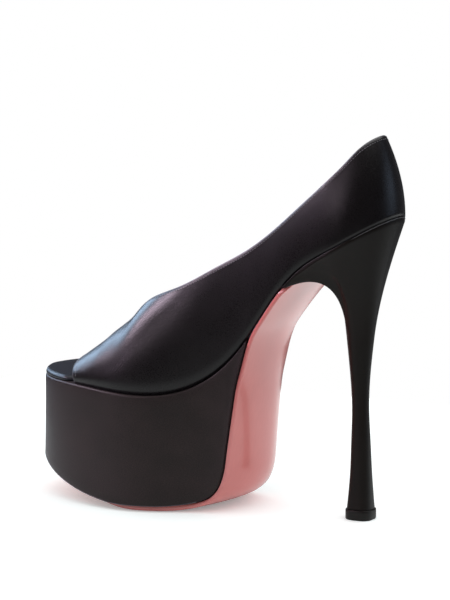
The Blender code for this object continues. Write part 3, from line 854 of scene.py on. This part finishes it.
def build_lasting_margin():
    """The upper's edge turned in under the insole, which closes the shoe round the insole's rim."""
    rings, points = [], []
    outer = [("outer", MARGIN_BOTTOM), ("outer", MARGIN_TOP)]
    inner = [("inner", MARGIN_TOP), ("inner", MARGIN_BOTTOM)]
    for station in eased_stations(*MARGIN_ENDS, BOARD_STEPS):
        tuck = MARGIN_TUCK + FEATHER_TUCK * ease((station - HEEL_BACK) / COUNTER_REACH)
        ring = []
        for side, drop in outer + inner:
            reach = max(0.05, half_width(station, side) - tuck)
            ring.append(world(station, swing(station) + SIDES[side] * reach, edge_height(station) - drop))
        add_ring(points, rings, ring)
    uvs = ring_uvs(points, rings)
    return make_piece("lasting_margin", points, loft_faces(rings), LINING, uvs)


def build_insole():
    """Padded board inside the upper; at the toe opening its rolled rim comes out to the platform's edge."""
    first, last = HEEL_BACK + INSOLE_INSET, TOE_TIP - TOE_INSET
    rings, points = [], []
    for station in eased_stations(first, last, BOARD_STEPS):
        low = edge_height(station)
        sides = {}
        for side, sign in SIDES.items():
            out = ease((station - TOE_OPENING - RIM_OUT_LEAD) / RIM_OUT_BLEND)
            inset = INSOLE_INSET + (TOE_INSET - INSOLE_INSET) * out
            half = half_width(station, side)
            reach = max(0.0, half - inset)
            if station < first + HEEL_ROUND:
                share = 1 - (station - first) / HEEL_ROUND
                reach = min(reach, (full_half[side](station) - inset) * math.sqrt(max(0.0, 1 - share**2)))
            edge = min(1.0, reach / ROLL_FULL)
            profile = [(reach - 0.6 * edge, low), (reach - 0.15 * edge, low + 0.1 * INSOLE)]
            for i in range(ROLL_STEPS + 1):
                turn = math.pi / 2 * i / ROLL_STEPS
                pull = ROLL_WIDTH * edge * (1 - math.cos(turn))
                profile.append((reach - pull, low + INSOLE * (0.3 + 0.7 * math.sin(turn))))
            sides[side] = [world(station, swing(station) + sign * w, z) for w, z in profile]
        add_ring(points, rings, sides["outer"] + sides["inner"][::-1])
    uvs = ring_uvs(points, rings)
    return make_piece("insole_cover", points, loft_faces(rings), INSOLE_SATIN, uvs, "insole")


# The heel


HEEL_SIDE_STEPS, HEEL_FLARE_STEPS, STEM_RINGS = 36, 36, 40
SEAT_ROUND = ((0.5, 0.0), (0.2, 0.18), (0.0, 0.6))  # depth and inset of the rings that round off the top edge
BREAST_PLACES = (0.98, 0.96, 0.93, 0.905, 0.885, WING_SHARE + 0.012, WING_SHARE, 0.75, 0.6, 0.45, 0.3, 0.15)


def heel_places():
    """Places round the heel as (turn, side share): outer side to the back, inner side, then the breast."""
    places = [(i / HEEL_SIDE_STEPS, 1.0) for i in range(HEEL_SIDE_STEPS + 1)]
    places += [(i / HEEL_SIDE_STEPS, -1.0) for i in reversed(range(HEEL_SIDE_STEPS))]
    breast = [-s for s in BREAST_PLACES] + [0.0] + list(reversed(BREAST_PLACES))
    places += [(-QUARTER * (1 - abs(share)), share) for share in breast]
    return places


def stem_angle(turn, share):
    """Angle round the stem from its front, positive to the outer side."""
    return (STEM_FRONT_ANGLE + (math.pi - STEM_FRONT_ANGLE) * max(0.0, turn)) * share


def stem_point(turn, share, height):
    """A place on the stem as station, sideways place and height."""
    angle = stem_angle(turn, share)
    back, front, half, square = (stem_at[key](height) for key in STEM_COLUMNS[1:])
    middle, reach = (back + front) / 2, (front - back) / 2
    ahead, out = (math.copysign(abs(v) ** (2 / square), v) for v in (math.cos(angle), math.sin(angle)))
    return np.array([middle + reach * ahead, half * out, height])


def seat_point(turn, share, depth, inset):
    """A place on the heel's top edge, or that far below it."""
    wing = ease((abs(share) - WING_SHARE) / (1 - WING_SHARE)) ** 0.5 if turn < 0 else 1.0
    front = HEEL_BREAST + (HEEL_WING - HEEL_BREAST) * wing
    station = front if turn <= 0 else HEEL_BACK + (HEEL_WING - HEEL_BACK) * (1 - math.sin(turn * math.pi / 2))
    half = half_width(station, "outer" if share > 0 else "inner")
    half -= min(inset, half * 0.5)
    rear = LIP_LEAN * depth * max(0.0, 1 - max(0.0, turn) / QUARTER)
    if turn < 0:
        rear += WAIST_BULGE * (1 - share**2) * depth / HEEL_LIP
    rear -= inset * max(0.0, 1 - (1 - turn) / QUARTER)
    return np.array([station - rear, share * half, edge_height(station) - GAP - depth])


def lip_depth(turn, share):
    """Depth of the heel's edge, which runs out to a thin tip at each wing."""
    away = turn * LIP_SIDE_RATE if turn > 0 else (1 - abs(share)) * LIP_BREAST_RATE
    return HEEL_LIP * (LIP_TIP + (1 - LIP_TIP) * ease(away))


def flare_point(turn, share, f):
    """A point on the curve that leaves the stem at f = 0 and meets the seat at f = 1."""
    start = stem_point(turn, share, STEM_TOP)
    end = seat_point(turn, share, lip_depth(turn, share), HEEL_INSET)
    leave = (start - stem_point(turn, share, STEM_TOP - 1.0)) * flare_at["pull"](turn)
    arrive = np.array([flare_at["ahead"](turn), share * flare_at["out"](turn), flare_at["up"](turn)])
    p = (2 * f**3 - 3 * f**2 + 1) * start + (3 * f**2 - 2 * f**3) * end
    return p + (f**3 - 2 * f**2 + f) * leave + (f**3 - f**2) * arrive


def build_heel():
    """Satin-covered flared heel, hollowed at the breast."""
    places = heel_places()
    rings, points = [], []
    for height in np.linspace(STEM[0][0], STEM_TOP, STEM_RINGS):
        add_ring(points, rings, [world(*stem_point(turn, share, height)) for turn, share in places])
    for step in range(1, HEEL_FLARE_STEPS + 1):
        f = step / HEEL_FLARE_STEPS
        add_ring(points, rings, [world(*flare_point(turn, share, f)) for turn, share in places])
    for depth, inset in SEAT_ROUND:
        ring = [world(*seat_point(turn, share, depth, HEEL_INSET + inset)) for turn, share in places]
        add_ring(points, rings, ring)
    faces = loft_faces(rings)[:-1]
    top = list(rings[-1])
    last = 2 * HEEL_SIDE_STEPS
    join = HEEL_SIDE_STEPS // 6
    faces.append((*top[join::-1], *top[:last:-1], *top[last : last - join - 1 : -1]))
    across = range(join, HEEL_SIDE_STEPS)
    faces += [(top[j + 1], top[j], top[last - j], top[last - j - 1]) for j in across]
    fold = []
    for turn, share in places:
        if turn > HEEL_FOLD_FROM:
            sunk = HEEL_FOLD_SINK * (1 - ease((turn - HEEL_FOLD_FROM) / HEEL_FOLD_BLEND))
            fold.append(world(*seat_point(turn, share, HEEL_FOLD_DEPTH, HEEL_INSET + sunk)))
    tube("heel_fold", fold, HEEL_FOLD, EDGE_HIGHLIGHT_SATIN)
    uvs = [(p[2] / MM, (p[1] - abs(p[0])) / MM) for p in points]
    return make_piece("heel_cover", points, faces, HEEL_SATIN, uvs, "heel")


def build_heel_tip():
    """Hard top piece under the heel, with a small chamfer above the floor."""
    places = heel_places()
    rings, points = [], []
    top = TIP_HEIGHT
    profile = ((0.0, 0.2), (0.15, 0.5), (0.5, 0.7), (top - 0.4, 0.7), (top - 0.12, 0.6), (top, 0.4))
    for height, grow in profile:
        ring = []
        for turn, share in places:
            station, across, _ = stem_point(turn, share, STEM[0][0])
            angle = stem_angle(turn, share)
            ring.append(world(station + grow * math.cos(angle), across + grow * math.sin(angle), height))
        add_ring(points, rings, ring)
    uvs = ring_uvs(points, rings)
    return make_piece("tip_cover", points, loft_faces(rings), TIP, uvs, "heel_tip")


# The studio


CAMERA_AZIMUTH, CAMERA_ELEVATION = 29.0, 9.0  # degrees towards the heel from a side view, and above the floor
CAMERA_DISTANCE, CAMERA_LENS, CAMERA_SENSOR = 1.2, 144.0, 36.0
CAMERA_TARGET = Vector((ACROSS_SHIFT * MM, 0.00329, 0.080))
CAMERA_SHIFT = (0.00107, 0.075)

# Lamps aimed at the shoe: place and size in metres, power in watts, and a flag that keeps the light off one
# thing or on it alone. For a sun the width is its span in degrees and the power is per square metre.
# For a spot, which is aimed at the vamp, the width is its cone in degrees and the height its radius.
VAMP_MIDDLE = Vector((0.035, -0.075, 0.080))
OFF_FLOOR = ("studio_floor", "EXCLUDE")
ON_FLOOR = ("studio_floor", "INCLUDE")
ON_SOLE = ("sole_cover", "INCLUDE")
LIGHT_COLUMNS = ("name", "kind", "place", "width", "height", "power", "colour", "flag")
LIGHTS = (
    ("sky", "SUN", (-0.15, 0.10, 1.0), 70.0, 0, 3.0, (1.0, 1.0, 1.0), OFF_FLOOR),
    ("sweep", "SUN", (0.0, 0.0, 1.0), 160.0, 0, 3.6, (1.0, 1.0, 1.0), ON_FLOOR),
    ("vamp_softbox", "AREA", (-0.50, -1.36, 0.62), 0.9, 0.5, 10.5, (0.54, 0.74, 1.0), OFF_FLOOR),
    ("front_softbox", "AREA", (0.36, -1.30, 1.12), 0.7, 0.4, 22.0, (1.0, 0.80, 0.97), OFF_FLOOR),
    ("side_softbox", "AREA", (1.40, -0.36, 0.86), 0.8, 0.3, 5.0, (1.0, 0.82, 0.95), OFF_FLOOR),
    ("vamp_spot", "SPOT", (1.12, -0.98, 0.60), 5.5, 0.15, 90.0, (1.0, 0.78, 1.0), OFF_FLOOR),
    ("back_softbox", "AREA", (-0.60, 1.20, 0.35), 0.6, 0.5, 1.5, (0.60, 0.76, 1.0), OFF_FLOOR),
    ("sole_softbox", "AREA", (-0.35, 1.25, 0.10), 0.9, 0.4, 6.2, (1.0, 0.98, 0.97), ON_SOLE),
)
AMBIENT = 0.07  # share of the backdrop's light that reaches the shoe
FLOOR_COLOUR = (0.89, 0.94, 0.94, 1.0)
FLOOR_REACH, FLOOR_DROP = 0.3, 0.00005  # metres from the middle to an edge, and below the shoe
FLOOR_GLOW = 0.24  # light that the white sweep adds for the camera


def build_camera():
    """Camera in the place that the photo was taken from, as judged from the photo."""
    turn, tilt = math.radians(CAMERA_AZIMUTH), math.radians(CAMERA_ELEVATION)
    way = Vector((math.cos(turn) * math.cos(tilt), math.sin(turn) * math.cos(tilt), math.sin(tilt)))
    data = bpy.data.cameras.new("photo_camera")
    data.lens, data.sensor_width = CAMERA_LENS, CAMERA_SENSOR
    data.shift_x, data.shift_y = CAMERA_SHIFT
    camera = bpy.data.objects.new("photo_camera", data)
    camera.location = CAMERA_TARGET + way * CAMERA_DISTANCE
    camera.rotation_euler = way.to_track_quat("Z", "Y").to_euler()
    bpy.context.scene.collection.objects.link(camera)
    bpy.context.scene.camera = camera


def build_lights():
    """Lamps of the table, each aimed and linked to what it may light."""
    for row in LIGHTS:
        light = dict(zip(LIGHT_COLUMNS, row))
        data = bpy.data.lights.new(light["name"], light["kind"])
        data.energy, data.color = light["power"], light["colour"]
        if light["kind"] == "SUN":
            data.angle = math.radians(light["width"])
        elif light["kind"] == "SPOT":
            data.spot_size, data.spot_blend = math.radians(light["width"]), 1.0
            data.shadow_soft_size = light["height"]
        else:
            data.shape, data.size, data.size_y = "RECTANGLE", light["width"], light["height"]
        lamp = bpy.data.objects.new(light["name"], data)
        lamp.location = light["place"]
        aim = VAMP_MIDDLE if light["kind"] == "SPOT" else CAMERA_TARGET
        lamp.rotation_euler = (Vector(light["place"]) - aim).to_track_quat("Z", "Y").to_euler()
        lamp.visible_camera = False
        bpy.context.scene.collection.objects.link(lamp)
        if light["flag"]:
            shaded, state = light["flag"]
            flag = bpy.data.collections.new(light["name"] + "_flag")
            flag.objects.link(bpy.data.objects[shaded])
            flag.collection_objects[0].light_linking.link_state = state
            lamp.light_linking.receiver_collection = flag


def build_world():
    """White backdrop; the light that it gives is softer than it looks."""
    world_data = bpy.data.worlds.new("studio")
    world_data.use_nodes = True
    tree = world_data.node_tree
    backdrop = tree.nodes["Background"]
    backdrop.inputs["Color"].default_value = (1.0, 1.0, 1.0, 1.0)
    seen = add_node(tree, "ShaderNodeLightPath").outputs["Is Camera Ray"]
    spread = {"Value": seen, "To Min": AMBIENT, "To Max": 1.0}
    tree.links.new(add_node(tree, "ShaderNodeMapRange", spread).outputs[0], backdrop.inputs["Strength"])
    bpy.context.scene.world = world_data
    bpy.context.scene.view_settings.view_transform = "Standard"


def build_floor():
    """White floor that takes the shadow and glows a little for the camera."""
    material = bpy.data.materials.new("studio_floor")
    material.use_nodes = True
    tree = material.node_tree
    shader = tree.nodes["Principled BSDF"]
    shader.inputs["Base Color"].default_value = FLOOR_COLOUR
    shader.inputs["Specular IOR Level"].default_value = 0.0
    shader.inputs["Emission Color"].default_value = (FLOOR_GLOW, FLOOR_GLOW, FLOOR_GLOW, 1.0)
    seen = add_node(tree, "ShaderNodeLightPath").outputs["Is Camera Ray"]
    tree.links.new(seen, shader.inputs["Emission Strength"])
    mesh = bpy.data.meshes.new("studio_floor")
    signs = ((-1, -1), (1, -1), (1, 1), (-1, 1))
    corners = [(x * FLOOR_REACH, y * FLOOR_REACH, -FLOOR_DROP) for x, y in signs]
    mesh.from_pydata(corners, [], [(0, 1, 2, 3)])
    mesh.materials.append(material)
    floor = bpy.data.objects.new("studio_floor", mesh)
    bpy.context.scene.collection.objects.link(floor)


build_camera()
build_world()
build_floor()
build_upper()
build_platform()
build_outsole()
build_lasting_margin()
build_insole()
build_heel()
build_heel_tip()
build_lights()
